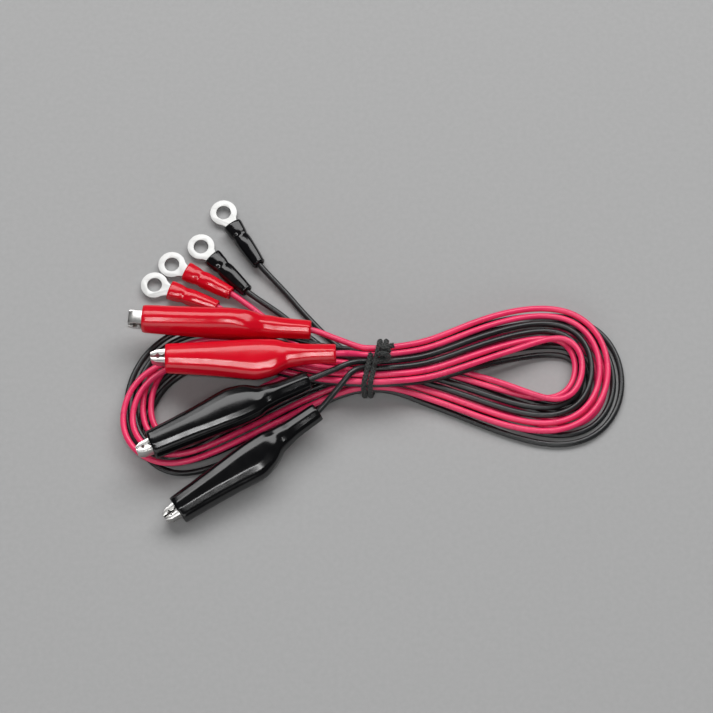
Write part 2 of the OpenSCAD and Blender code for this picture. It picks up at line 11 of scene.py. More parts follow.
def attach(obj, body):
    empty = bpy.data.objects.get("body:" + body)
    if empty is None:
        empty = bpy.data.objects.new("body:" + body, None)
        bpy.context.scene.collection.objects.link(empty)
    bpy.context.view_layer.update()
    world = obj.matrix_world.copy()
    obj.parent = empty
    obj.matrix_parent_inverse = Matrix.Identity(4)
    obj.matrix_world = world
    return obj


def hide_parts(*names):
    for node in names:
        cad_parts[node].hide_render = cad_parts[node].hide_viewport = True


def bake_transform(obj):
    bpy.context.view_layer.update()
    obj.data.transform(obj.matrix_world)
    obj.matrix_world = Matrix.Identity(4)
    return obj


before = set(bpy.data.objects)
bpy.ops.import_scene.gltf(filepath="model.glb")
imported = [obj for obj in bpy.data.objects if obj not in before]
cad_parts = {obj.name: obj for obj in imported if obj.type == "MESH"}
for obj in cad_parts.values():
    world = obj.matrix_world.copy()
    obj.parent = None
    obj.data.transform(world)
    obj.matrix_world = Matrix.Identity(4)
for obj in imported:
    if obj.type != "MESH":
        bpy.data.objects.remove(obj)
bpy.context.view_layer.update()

MM = 0.001
LEADS = ("red_1", "red_2", "black_1", "black_2")
SHIFT = np.array([0.0, -4.85, 0.0])

# sizes in millimetres, as in the solids; only the boots' wall is thinner here
WIRE_D = 1.7
WIRE_R = WIRE_D / 2
COL = WIRE_D + 0.3
ROW = WIRE_D + 0.48
LOBE_PITCH = COL + 0.3
LANES = 6
LAYERS = 2
MID_LANE = (LANES - 1) / 2
TIE_D = 1.6
TIE_GAP = 0.15
TIE_SLANT = 2.6
WAIST_LIFT = TIE_D + TIE_GAP + 0.1
LIFT_FLAT, LIFT_RUN = 4, 13
RIGHT_REACH, RIGHT_BULGE, UNDER_REACH, LAYER_LEAN = 60.5, 22.0, 4.0, 1.5
LEFT_REACH, LEFT_BULGE, LEFT_LEAN = 64.0, 24.5, 10.0
BOOT_FRONT, BOOT_BACK, BOOT_WALL = 20.5, 27.0, 0.5
BARREL_D, BARREL_AT, BARREL_L = 3.3, 5.6, 5.2
SLEEVE_AT, SLEEVE_L, SLEEVE_WALL = 4.9, 14.9, 0.55
SLEEVE_HALF = BARREL_D / 2 + 0.1 + SLEEVE_WALL
SLEEVE_TAIL = WIRE_R + 0.45 + SLEEVE_WALL
CLIP_BARREL_END, CLIP_CRIMP = 22.0, 19
CRIMP_GAP = 0.2
PIVOT_R, PIVOT_CLEAR = 0.75, 0.05
SPRING_D = 0.5
CORE_D = 1.0
CLIP_CORE = (-CLIP_CRIMP, -16.5, -14)
RING_CORE = (-11, -8.4, -5.9)

# places of the boots' tails, headings, dips, opening sides and rolls of the clips, one per lead
TAIL_AT = np.array([(-17.8, 9.9, 10.9), (-10.7, 2.1, 12.9), (-18.3, -4.9, 10.7), (-15.8, -13.2, 7.6)])
CLIP_AZ = (176.0, 181.4, 204.0, 215.5)
CLIP_DIP = (0.0, 0.8, 0.0, 4.0)
CLIP_SIDE = (1, 1, -1, 1)
CLIP_ROLL = (90.0, 0.0, 0.0, 0.0)
# places and headings of the ring terminals
RING_AT = np.array([(-63.3, 27.2), (-58.5, 33.6), (-50.2, 39.2), (-43.9, 50.0)])
RING_AZ = (159.0, 152.0, 134.0, 123.0)
# bends of each lead between the tie and its clip, and between the tie and its terminal
CLIP_BENDS = (
    ((-4, 5.3, 9.4), (-11, 7.6, 10.3)),
    ((-3.5, 3, 9.6), (-7, 2.7, 11.4)),
    ((-3, 1, 9.5), (-6.5, 0.1, 10.9), (-12, -2.3, 11)),
    ((-3, -0.9, 9.7), (-6.2, -2.7, 11.3), (-10.2, -7.2, 10.1)),
)
RING_BENDS = (
    ((-4, -1, 2.5), (-8, -0.7, 2.1), (-14, 1.2, 1.1), (-22, 5, 0.95), (-32, 11.4, 1)),
    ((-4, 1, 2.5), (-8, 1.5, 2.1), (-14, 4, 1.1), (-22, 9.2, 0.85), (-31, 17, 1.1)),
    ((-4, 3.1, 2.5), (-8, 4, 2.1), (-13, 7, 1.2), (-20, 12.6, 0.9), (-27, 18.4, 1.2)),
    ((-4, 5.3, 2.5), (-8, 6.8, 2.1), (-13, 11, 1.2), (-20, 18.6, 0.9), (-25.5, 25, 1.4)),
)
# strands that lie loose of their lanes: lead and turn, then the angles where the strand starts
# to leave, is out, starts back and is home, and how far out it lies
RIGHT_STRAYS = {
    (2, 1): (195, 250, 290, 338, 0.8), (3, 1): (195, 250, 290, 338, 0.3), (0, 1): (170, 225, 250, 300, -0.5),
    (1, 1): (100, 176, 205, 272, 4.0), (3, 2): (74, 112, 126, 196, -0.4),
}
LEFT_STRAYS = {
    (0, 0): (115, 160, 185, 222, 1.6), (1, 0): (115, 160, 185, 222, 1.2),
    (2, 1): (50, 100, 130, 175, 2.6), (3, 1): (50, 100, 130, 175, 1.4),
}

# the winding; angles in degrees round a lobe, from the waist and back to it
RIGHT_TURNS = 3
TOP_LEVEL = 3
DROP_POWER = 1.5
LANE_SPREAD = 0.8
TURN_STEPS = 96
PACE_SWING = 24
UNDER_OUT, UNDER_BACK = (70, 160), (230, 320)
LANE_CHANGE = ((130, 228), (84, 168), (160, 236))
TIER_CLIMB, TOP_CLIMB = (76, 110), (204, 285)
# the strand that crosses over the others, by lead and turn, and where the levels change along x
CROSSING = (1, 1)
CROSS_CLIMB = (27, 45)
TOP_DESCENT = (25, RIGHT_REACH - 8)
# fineness of the wires: spots in a bend, length of a step, sides
BEND_STEPS = 16
WIRE_STEP = 1.25
WIRE_SIDES = 14


# camera

def place_camera():
    """High view from the near side."""
    look_at = Vector((-5.0, 1.05, 0.0)) * MM
    elevation = math.radians(70)
    distance = 0.566
    data = bpy.data.cameras.new("bench_camera")
    data.lens = 100
    data.sensor_width = 36
    data.clip_start = 0.01
    camera = bpy.data.objects.new("bench_camera", data)
    camera.location = look_at + distance * Vector((0, -math.cos(elevation), math.sin(elevation)))
    camera.rotation_euler = (math.pi / 2 - elevation, 0, 0)
    bpy.context.scene.collection.objects.link(camera)
    bpy.context.scene.camera = camera


# routes of the wires

def smooth(t):
    """Soft step from 0 to 1."""
    t = min(1.0, max(0.0, t))
    return t * t * (3 - 2 * t)


def ease(v, a, b):
    """Soft step while v goes from a to b."""
    return smooth((v - a) / (b - a))


def mix(a, b, t):
    """Value a share t of the way from a to b."""
    return a + (b - a) * t


def heading(az, dip=0.0):
    """Unit direction from degrees round z and degrees below level."""
    a, d = math.radians(az), math.radians(dip)
    return np.array([math.cos(a) * math.cos(d), math.sin(a) * math.cos(d), -math.sin(d)])


def drop(phi, reach, bulge, lean):
    """Teardrop outline of one lobe."""
    u = (1 - math.cos(math.radians(phi))) / 2
    return np.array([reach * u, bulge * math.sin(math.radians(phi)) * u ** DROP_POWER - lean * u * u])


def in_lane(phi, reach, bulge, lean, lane, stray):
    """Spot on a lobe's outline, set off square to it by the lane and any stray."""
    d = drop(min(360, phi + 1), reach, bulge, lean) - drop(max(0, phi - 1), reach, bulge, lean)
    d /= np.linalg.norm(d)
    pitch = mix(COL, LOBE_PITCH, smooth(LANE_SPREAD * (1 - math.cos(math.radians(phi)))))
    return drop(phi, reach, bulge, lean) + np.array([-d[1], d[0]]) * ((MID_LANE - lane) * pitch + stray)


def height(level, x):
    """Height of a strand's middle on a level, lifted by the tie at the waist."""
    return WIRE_R + level * ROW + WAIST_LIFT * (1 - smooth((abs(x) - LIFT_FLAT) / LIFT_RUN))


def slot_of(lead, turn):
    """Lane, outermost first, and layer of a strand, from the winding order."""
    order = len(LEADS) * turn + lead
    return order % LANES, (1 if order < LANES else 0)


def stray_of(strays, lead, turn, phi):
    """How far a loose strand lies out of its lane at an angle."""
    leave, away, turn_back, home, out = strays.get((lead, turn), (0, 1, 2, 3, 0))
    return out * ease(phi, leave, away) * (1 - ease(phi, turn_back, home))


def right_point(lead, turn, phi):
    """Spot on a turn round the right lobe."""
    lane, layer = slot_of(lead, turn)
    over = 1 if (lead, turn) == CROSSING else 0
    under = 0 if layer else ease(phi, *UNDER_OUT) * (1 - ease(phi, *UNDER_BACK))
    p = in_lane(phi, RIGHT_REACH + under * UNDER_REACH, RIGHT_BULGE + under * UNDER_REACH / 3,
                -LAYER_LEAN if layer else LAYER_LEAN, lane, stray_of(RIGHT_STRAYS, lead, turn, phi))
    if phi < 180:
        level = layer + over + (LAYERS - over) * (1 - ease(p[0], *TOP_DESCENT))
    else:
        level = layer + over * ease(p[0], *CROSS_CLIMB)
    return (p[0], p[1], height(level, p[0]))


def left_point(lead, turn, phi):
    """Spot on a turn round the left lobe, where strands change lanes on three tiers."""
    (lane_a, layer_a), (lane_b, layer_b) = slot_of(lead, turn), slot_of(lead, turn + 1)
    # the red leads' first turn passes on the top tier, the black leads' last turn on the lowest
    tier = 2 if turn == 0 and lead < 2 else (0 if turn == 1 and lead > 1 else 1)
    lane = mix(lane_a, lane_b, ease(phi, *LANE_CHANGE[tier]))
    level = mix(mix(layer_a, tier, ease(phi, *TIER_CLIMB)), LAYERS + layer_b, ease(phi, *TOP_CLIMB))
    p = in_lane(phi, LEFT_REACH, LEFT_BULGE, -LEFT_LEAN, lane, stray_of(LEFT_STRAYS, lead, turn, phi))
    return (-p[0], -p[1], height(level, p[0]))


def hank_path(lead):
    """A lead's turns, right and left by turns, closer spots where the lobes bend most."""
    pace = [360 * i / TURN_STEPS + PACE_SWING * math.sin(2 * math.pi * i / TURN_STEPS)
            for i in range(TURN_STEPS + 1)]
    points = []
    for turn in range(RIGHT_TURNS):
        points += [right_point(lead, turn, phi) for phi in pace[1 if turn else 0:]]
        if turn < RIGHT_TURNS - 1:
            points += [left_point(lead, turn, phi) for phi in pace[1:]]
    return points


def curve_through(points, steps):
    """Rounded curve through given points."""
    p = [np.array(q, float) for q in points]
    p = [2 * p[0] - p[1]] + p + [2 * p[-1] - p[-2]]
    out = []
    for a, b, c, d in zip(p, p[1:], p[2:], p[3:]):
        for s in range(steps):
            t = s / steps
            out.append(0.5 * (2 * b + (c - a) * t + (2 * a - 5 * b + 4 * c - d) * t * t
                              + (3 * b - a - 3 * c + d) * t ** 3))
    return out + [p[-2]]


def lead_path(lead):
    """The whole lead from the clip's crimp barrel to the terminal's, in millimetres."""
    lane_out, lane_in = slot_of(lead, 0)[0], slot_of(lead, RIGHT_TURNS - 1)[0]
    tail, axis = TAIL_AT[lead], heading(CLIP_AZ[lead], CLIP_DIP[lead])
    clip_end = [(0, (MID_LANE - lane_out) * COL, height(TOP_LEVEL, 0))] + list(CLIP_BENDS[lead])
    clip_end += [tail, tail + (BOOT_BACK - CLIP_CRIMP) * axis]
    clip_run = curve_through(clip_end, BEND_STEPS)[::-1]
    inside = [q for q in clip_run if np.dot(q - tail, axis) < BOOT_BACK - CLIP_BARREL_END]
    ring = np.array([*RING_AT[lead], SLEEVE_HALF])
    back = heading(RING_AZ[lead])
    ring_end = [(0, -(MID_LANE - lane_in) * COL, height(0, 0))] + list(RING_BENDS[lead])
    ring_end += [ring - (SLEEVE_AT + SLEEVE_L) * back, ring - (BARREL_AT + BARREL_L + CRIMP_GAP) * back]
    route = inside[:-1] + [np.array(q) for q in hank_path(lead)] + curve_through(ring_end, BEND_STEPS)[1:]
    return resampled(np.array(route), WIRE_STEP) + SHIFT


def resampled(points, step):
    """The same path with even steps of about the given length."""
    run = np.r_[0, np.cumsum(np.linalg.norm(np.diff(points, axis=0), axis=1))]
    at = np.linspace(0, run[-1], int(run[-1] / step) + 1)
    return np.stack([np.interp(at, run, points[:, k]) for k in range(3)], axis=1)


# mesh makers

# cleaning and rounding of a solid's copy: weld distance in metres, angles in degrees
WELD = 2e-6
FLAT_ANGLE, BEVEL_ANGLE, SHARP_ANGLE = 1.5, 38, 40


def new_piece(name, vertices, faces, material, uvs=None):
    """A mesh object at the origin, vertices in millimetres, uvs one per loop."""
    mesh = bpy.data.meshes.new(name)
    mesh.from_pydata([tuple(np.array(v) * MM) for v in vertices], [], faces)
    if uvs is not None:
        layer = mesh.uv_layers.new(name="run")
        layer.data.foreach_set("uv", np.array(uvs, np.float32).ravel())
    mesh.materials.append(material)
    mesh.shade_smooth()
    mesh.update()
    piece = bpy.data.objects.new(name, mesh)
    bpy.context.scene.collection.objects.link(piece)
    return piece


def tube(name, path, radius, sides, material):
    """Round tube along a path with its own running coordinates: u along, v round."""
    path = np.array(path, float)
    run = np.r_[0, np.cumsum(np.linalg.norm(np.diff(path, axis=0), axis=1))]
    tangents = np.gradient(path, axis=0)
    tangents /= np.linalg.norm(tangents, axis=1)[:, None]
    across = np.cross(tangents[0], (0, 0, 1) if abs(tangents[0][2]) < 0.9 else (1, 0, 0))
    vertices, faces, uvs = [], [], []
    turn = np.linspace(0, 2 * math.pi, sides, endpoint=False)
    for p, t in zip(path, tangents):
        across = across - t * np.dot(across, t)
        across /= np.linalg.norm(across)
        up = np.cross(t, across)
        vertices += [p + radius * (across * math.cos(a) + up * math.sin(a)) for a in turn]
    for i in range(len(path) - 1):
        for k in range(sides):
            m = (k + 1) % sides
            faces.append((i * sides + k, i * sides + m, (i + 1) * sides + m, (i + 1) * sides + k))
            v0, v1 = k / sides, (k + 1) / sides
            uvs += [(run[i], v0), (run[i], v1), (run[i + 1], v1), (run[i + 1], v0)]
    last = (len(path) - 1) * sides
    faces.append(tuple(range(sides))[::-1])
    faces.append(tuple(range(last, last + sides)))
    uvs += [(0, 0)] * (2 * sides)
    return new_piece(name, vertices, faces, material, uvs)


def loft(name, rings, material):
    """Closed skin through rings of equal count; the last ring joins the first."""
    sides = len(rings[0])
    vertices = [v for ring in rings for v in ring]
    faces = []
    for i in range(len(rings)):
        j = (i + 1) % len(rings)
        for k in range(sides):
            m = (k + 1) % sides
            faces.append((i * sides + k, j * sides + k, j * sides + m, i * sides + m))
    return new_piece(name, vertices, faces, material)


def outward(piece):
    """Turns every face of a closed piece outwards."""
    work = bmesh.new()
    work.from_mesh(piece.data)
    bmesh.ops.recalc_face_normals(work, faces=work.faces)
    work.to_mesh(piece.data)
    work.free()
    piece.data.update()
    return piece


def from_nodes(name, carrier, tree, settings):
    """Runs a node tree on a carrier mesh and keeps the result as a plain mesh."""
    modifier = carrier.modifiers.new("build", "NODES")
    modifier.node_group = tree
    sockets = {s.name: s.identifier for s in tree.interface.items_tree if s.in_out == "INPUT"}
    for label, value in settings.items():
        modifier[sockets[label]] = value
    view = bpy.context.evaluated_depsgraph_get()
    mesh = bpy.data.meshes.new_from_object(carrier.evaluated_get(view), depsgraph=view)
    mesh.name = name
    bpy.data.objects.remove(carrier)
    mesh.shade_smooth()
    piece = bpy.data.objects.new(name, mesh)
    bpy.context.scene.collection.objects.link(piece)
    return piece


def softened(node, width, material):
    """A solid's copy with its sharp edges rounded, standing for the solid."""
    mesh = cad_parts[node].data.copy()
    work = bmesh.new()
    work.from_mesh(mesh)
    bmesh.ops.remove_doubles(work, verts=work.verts, dist=WELD)
    bmesh.ops.dissolve_limit(work, angle_limit=math.radians(FLAT_ANGLE), verts=work.verts, edges=work.edges)
    work.to_mesh(mesh)
    work.free()
    rough = bpy.data.objects.new(node + "_rough", mesh)
    bpy.context.scene.collection.objects.link(rough)
    bevel = rough.modifiers.new("edges", "BEVEL")
    bevel.width = width * MM
    bevel.segments = 2
    bevel.limit_method = "ANGLE"
    bevel.angle_limit = math.radians(BEVEL_ANGLE)
    bevel.use_clamp_overlap = True
    view = bpy.context.evaluated_depsgraph_get()
    done = bpy.data.meshes.new_from_object(rough.evaluated_get(view), depsgraph=view)
    bpy.data.objects.remove(rough)
    done.name = node + "_finished"
    done.materials.clear()
    done.materials.append(material)
    done.shade_smooth()
    done.set_sharp_from_angle(angle=math.radians(SHARP_ANGLE))
    piece = bpy.data.objects.new(node + "_finished", done)
    bpy.context.scene.collection.objects.link(piece)
    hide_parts(node)
    return piece


# places of the clips and terminals

def clip_place(lead):
    """Matrix from a clip drawn about its pivot to its place in the hank, in millimetres."""
    origin = SHIFT + TAIL_AT[lead] + BOOT_BACK * heading(CLIP_AZ[lead], CLIP_DIP[lead])
    place = Matrix.Translation(origin)
    for angle, axis in ((CLIP_AZ, "Z"), (CLIP_DIP, "Y"), (CLIP_ROLL, "X")):
        place = place @ Matrix.Rotation(math.radians(angle[lead]), 4, axis)
    return place @ Matrix.Diagonal((1, CLIP_SIDE[lead], 1, 1))


def ring_place(lead):
    """Matrix from a terminal drawn about its ring to its place, in millimetres."""
    origin = SHIFT + np.array([*RING_AT[lead], SLEEVE_HALF])
    return Matrix.Translation(origin) @ Matrix.Rotation(math.radians(RING_AZ[lead]), 4, "Z")


def moved(place, points):
    """Points carried from a drawing to its place."""
    return [np.array(place @ Vector(p)) for p in points]


# materials

# part of a noise over which a colour changes, and a number
RAMP_ENDS, SPAN_ENDS = (0.3, 0.7), (0.25, 0.75)


def finish(name):
    """A new material with its node tree and shader."""
    material = bpy.data.materials.new(name)
    material.use_nodes = True
    tree = material.node_tree
    return material, tree, tree.nodes["Principled BSDF"]


def noise_of(tree, source, scale, detail, stretch=None):
    """Noise on given coordinates, pulled out along an axis where stretch is set."""
    if stretch is not None:
        mapping = tree.nodes.new("ShaderNodeMapping")
        mapping.inputs["Scale"].default_value = stretch
        tree.links.new(source, mapping.inputs["Vector"])
        source = mapping.outputs["Vector"]
    noise = tree.nodes.new("ShaderNodeTexNoise")
    noise.inputs["Scale"].default_value = scale
    noise.inputs["Detail"].default_value = detail
    tree.links.new(source, noise.inputs["Vector"])
    return noise.outputs["Fac"]


def ramp(tree, factor, low, high):
    """Colour from low to high over the middle of a noise."""
    node = tree.nodes.new("ShaderNodeValToRGB")
    for element, position, colour in zip(node.color_ramp.elements, RAMP_ENDS, (low, high)):
        element.position = position
        element.color = (*colour, 1)
    tree.links.new(factor, node.inputs["Fac"])
    return node.outputs["Color"]


def span(tree, factor, low, high):
    """Number from low to high over the middle of a noise."""
    node = tree.nodes.new("ShaderNodeMapRange")
    node.inputs["From Min"].default_value = SPAN_ENDS[0]
    node.inputs["From Max"].default_value = SPAN_ENDS[1]
    node.inputs["To Min"].default_value = low
    node.inputs["To Max"].default_value = high
    tree.links.new(factor, node.inputs["Value"])
    return node.outputs["Result"]


def bumped(tree, shader, layers):
    """Stacks bump layers (height, strength, depth in millimetres) on a shader."""
    normal = None
    for level, strength, depth in layers:
        bump = tree.nodes.new("ShaderNodeBump")
        bump.inputs["Strength"].default_value = strength
        bump.inputs["Distance"].default_value = depth * MM
        tree.links.new(level, bump.inputs["Height"])
        if normal is not None:
            tree.links.new(normal, bump.inputs["Normal"])
        normal = bump.outputs["Normal"]
    tree.links.new(normal, shader.inputs["Normal"])


def shades(colour, spread):
    """A darker and a lighter shade about a colour."""
    return tuple(c * (1 - spread) for c in colour), tuple(min(1, c * (1 + spread)) for c in colour)


def wire_insulation(name, colour):
    """Extruded soft plastic: faint draw lines along the wire, satin, slightly smudged."""
    material, tree, shader = finish(name)
    run = tree.nodes.new("ShaderNodeUVMap")
    run.uv_map = "run"
    place = tree.nodes.new("ShaderNodeTexCoord").outputs["Object"]
    smudge = noise_of(tree, place, scale=160, detail=4)
    draw = noise_of(tree, run.outputs["UV"], scale=1.0, detail=2, stretch=(0.02, 22, 1))
    low, high = shades(colour, 0.08)
    tree.links.new(ramp(tree, smudge, low, high), shader.inputs["Base Color"])
    tree.links.new(span(tree, smudge, 0.24, 0.34), shader.inputs["Roughness"])
    shader.inputs["Specular IOR Level"].default_value = 0.55
    pores = noise_of(tree, place, scale=2600, detail=2)
    bumped(tree, shader, [(draw, 0.2, 0.02), (pores, 0.08, 0.01)])
    return material


def dipped_vinyl(name, colour, spread):
    """Glossy dip-moulded vinyl: slow waves and a few smudges in the gloss."""
    material, tree, shader = finish(name)
    place = tree.nodes.new("ShaderNodeTexCoord").outputs["Object"]
    cloud = noise_of(tree, place, scale=95, detail=3)
    smudge = noise_of(tree, place, scale=210, detail=4)
    low, high = shades(colour, spread)
    tree.links.new(ramp(tree, cloud, low, high), shader.inputs["Base Color"])
    tree.links.new(span(tree, smudge, 0.1, 0.18), shader.inputs["Roughness"])
    shader.inputs["Specular IOR Level"].default_value = 0.48
    wave = noise_of(tree, place, scale=110, detail=2)
    ripple = noise_of(tree, place, scale=420, detail=2)
    bumped(tree, shader, [(wave, 0.2, 0.25), (ripple, 0.06, 0.05)])
    return material


def plated_metal(name, colour, rough_low, rough_high, grain):
    """Plated sheet: bright, with rolled grain and small dull patches."""
    material, tree, shader = finish(name)
    place = tree.nodes.new("ShaderNodeTexCoord").outputs["Object"]
    patch = noise_of(tree, place, scale=420, detail=5)
    rolled = noise_of(tree, place, scale=900, detail=3, stretch=(0.12, 1, 1))
    low, high = shades(colour, 0.09)
    tree.links.new(ramp(tree, patch, low, high), shader.inputs["Base Color"])
    tree.links.new(span(tree, patch, rough_low, rough_high), shader.inputs["Roughness"])
    shader.inputs["Metallic"].default_value = 1.0
    bumped(tree, shader, [(rolled, grain, 0.015), (patch, 0.08, 0.02)])
    return material


def braided_yarn(name, colour):
    """Twisted yarn with a slight gloss and a soft nap."""
    material, tree, shader = finish(name)
    place = tree.nodes.new("ShaderNodeTexCoord").outputs["Object"]
    nap = noise_of(tree, place, scale=5200, detail=4)
    cloud = noise_of(tree, place, scale=700, detail=3)
    low, high = shades(colour, 0.35)
    tree.links.new(ramp(tree, cloud, low, high), shader.inputs["Base Color"])
    tree.links.new(span(tree, nap, 0.48, 0.66), shader.inputs["Roughness"])
    shader.inputs["Specular IOR Level"].default_value = 0.4
    shader.inputs["Sheen Weight"].default_value = 0.2
    shader.inputs["Sheen Roughness"].default_value = 0.5
    bumped(tree, shader, [(nap, 0.3, 0.05)])
    return material


RED_WIRE = wire_insulation("red_wire_insulation", (0.84, 0.034, 0.135))
BLACK_WIRE = wire_insulation("black_wire_insulation", (0.016, 0.017, 0.018))
RED_VINYL = dipped_vinyl("red_dipped_vinyl", (0.67, 0.004, 0.018), 0.05)
BLACK_VINYL = dipped_vinyl("black_dipped_vinyl", (0.004, 0.004, 0.0045), 0.2)
NICKEL = plated_metal("bright_nickel_plate", (0.72, 0.71, 0.69), 0.28, 0.4, 0.2)
TIN = plated_metal("bright_tin_plate", (0.64, 0.64, 0.63), 0.55, 0.68, 0.3)
SPRING_STEEL = plated_metal("drawn_spring_steel", (0.45, 0.45, 0.46), 0.25, 0.4, 0.3)
COPPER = plated_metal("bare_copper_strand", (0.62, 0.27, 0.13), 0.28, 0.45, 0.2)
CORD_YARN = braided_yarn("black_tie_yarn", (0.022, 0.024, 0.023))
WIRE_OF = (RED_WIRE, RED_WIRE, BLACK_WIRE, BLACK_WIRE)
VINYL_OF = (RED_VINYL, RED_VINYL, BLACK_VINYL, BLACK_VINYL)


# vinyl boots and sleeves

# sections: x, reach to minus y, reach to plus y, half height, squareness;
# the reaches and heights are the solids' own, the boots' corners are rounder
BOOT_SECTIONS = np.array([
    (BOOT_FRONT, 4.0, 4.3, 3.8, 2.35), (BOOT_FRONT - 1.5, 4.05, 4.4, 3.9, 2.35),
    (12, 4.2, 5.0, 4.0, 2.35), (3, 4.45, 6.0, 4.1, 2.4), (-2, 4.6, 6.7, 4.15, 2.45),
    (-5, 4.65, 6.9, 4.1, 2.5), (-8, 4.55, 6.2, 4.0, 2.5), (-11, 4.3, 5.1, 3.85, 2.5),
    (-13.5, 3.8, 4.3, 3.6, 2.4), (-16, 3.2, 3.5, 3.25, 2.3), (-18.5, 3.0, 3.0, 3.0, 2.1),
    (-BOOT_BACK + 1, 2.75, 2.75, 2.75, 2.0), (-BOOT_BACK, 2.7, 2.7, 2.7, 2.0),
])
SLEEVE_SECTIONS = np.array([
    (-SLEEVE_AT, SLEEVE_HALF + 0.6, SLEEVE_HALF + 0.6, SLEEVE_HALF, 2.5),
    (-SLEEVE_AT - 1.2, SLEEVE_HALF + 0.5, SLEEVE_HALF + 0.5, SLEEVE_HALF, 2.5),
    (-BARREL_AT - BARREL_L / 2, SLEEVE_HALF + 0.3, SLEEVE_HALF + 0.3, SLEEVE_HALF, 2.4),
    (-BARREL_AT - BARREL_L - 0.8, SLEEVE_HALF + 0.15, SLEEVE_HALF + 0.15, SLEEVE_HALF, 2.3),
    (-SLEEVE_AT - SLEEVE_L + 3.5, SLEEVE_TAIL + 0.35, SLEEVE_TAIL + 0.35, SLEEVE_TAIL + 0.3, 2.2),
    (-SLEEVE_AT - SLEEVE_L, SLEEVE_TAIL, SLEEVE_TAIL, SLEEVE_TAIL, 2.0),
])
# narrow flats in the vinyl: degrees from each side, and how far they cut in
FLAT_TURN = 19.0
BOOT_FLAT, SLEEVE_FLAT = 0.09, 0.06
BOOT_RINGS, BOOT_SIDES = 76, 96
SLEEVE_RINGS, SLEEVE_SIDES = 60, 72
# relief of the boots: spot along x, half length, half angle in radians where it has one, and rise
BOOT_WAIST = (-13.2, 1.7, -0.34)
PLATE_TURN = 0.5
PLATE_CORNER = (-9.2, 1.9, 0.3, 0.26)
CORNER_HOLLOW = (-14.0, 2.1, 0.45, -0.2)
TOP_HOLLOW = (-1, 7, -0.12)
TOP_NARROWNESS = 6
# relief of the sleeves, from the sleeve's mouth
MOUTH_PINCH = (-4.6, 0.9, -0.26)
CRIMP_DENT = (-5.2, 1.1, 0.7, -0.14)
CRIMP_SWELL = (-7.6, 1.5, 0.9, 0.1)
TURNED_TAIL = (-SLEEVE_L, 0.7, 0.16)
# rounded lips of a skin: distance in from its end, and share of the wall
LIP_CREST, LIP_OUTER, LIP_INNER = (0.02, 0.5), (0.05, 0.2), (0.05, 0.85)


def section_at(sections, x):
    """Sizes of the skin at x, eased between the listed sections."""
    xs = sections[:, 0]
    i = int(np.clip(np.searchsorted(-xs, -x) - 1, 0, len(xs) - 2))
    a, b, c, d = (sections[int(np.clip(j, 0, len(xs) - 1))] for j in (i - 1, i, i + 1, i + 2))
    t = (x - b[0]) / (c[0] - b[0])
    slope_b = (c - a) / (c[0] - a[0]) * (c[0] - b[0])
    slope_c = (d - b) / (d[0] - b[0]) * (c[0] - b[0])
    h = (2 * t ** 3 - 3 * t ** 2 + 1, t ** 3 - 2 * t ** 2 + t, -2 * t ** 3 + 3 * t ** 2, t ** 3 - t ** 2)
    return h[0] * b + h[1] * slope_b + h[2] * c + h[3] * slope_c


def skin_ring(size, x, inset, sides, relief):
    """One rounded-square ring of the skin, inset from its outer face."""
    ring = []
    for k in range(sides):
        a = 2 * math.pi * k / sides
        c = math.copysign(abs(math.cos(a)) ** (2 / size[4]), math.cos(a))
        s = math.copysign(abs(math.sin(a)) ** (2 / size[4]), math.sin(a))
        swell = relief(x, a) if relief else 0
        ring.append((x, c * ((size[1] if c < 0 else size[2]) - inset + swell), s * (size[3] - inset + swell)))
    return ring


def flattened(ring, sag):
    """The ring with narrow flats beside its four sides, each cut in by the sag."""
    points = np.array(ring)
    for a in [side + turn for side in (0, 90, 180, 270) for turn in (-FLAT_TURN, FLAT_TURN)]:
        out = np.array([0.0, math.cos(math.radians(a)), math.sin(math.radians(a))])
        reach = points @ out
        points -= np.outer(np.maximum(0.0, reach - reach.max() + sag), out)
    return points


def hollow_skin(name, sections, wall, steps, sides, material, place, relief, sag):
    """Open-ended vinyl skin with rounded lips, drawn once and placed."""
    front, back = sections[0][0], sections[-1][0]
    xs = np.linspace(front, back, steps)
    lip = wall / 2

    def lip_ring(end, way, depth, share):
        return skin_ring(section_at(sections, end), end + way * depth, wall * share, sides, None)

    def skin_rings(spots, inset, shape):
        return [skin_ring(section_at(sections, x), x, inset, sides, shape)
                for x in spots if front - lip > x > back + lip]

    rings = [lip_ring(front, -1, *LIP_CREST), lip_ring(front, -1, *LIP_OUTER)]
    rings += skin_rings(xs, 0.0, relief)
    rings += [lip_ring(back, 1, *LIP_OUTER), lip_ring(back, 1, *LIP_CREST), lip_ring(back, 1, *LIP_INNER)]
    rings += skin_rings(xs[::-2], wall, None)
    rings += [lip_ring(front, -1, *LIP_INNER)]
    return outward(loft(name, [moved(place, flattened(ring, sag)) for ring in rings], material))


def bump_at(bump, along, off=0.0):
    """Rise of one bump at a spot along the skin and an angle off the bump's middle."""
    spot, half, *arc, rise = bump
    fade = ((along - spot) / half) ** 2 + (off / arc[0] if arc else 0.0) ** 2
    return rise * math.exp(-fade)


def boot_relief(x, a):
    """Thumb plate corners pushing out of the vinyl, and the slack waist behind them."""
    rise = bump_at(BOOT_WAIST, x)
    for corner in (PLATE_TURN, -PLATE_TURN):
        off = (a + math.pi) % (2 * math.pi) - math.pi - corner
        rise += bump_at(PLATE_CORNER, x, off) + bump_at(CORNER_HOLLOW, x, off)
    return rise + bump_at(TOP_HOLLOW, x) * max(0.0, math.sin(a)) ** TOP_NARROWNESS


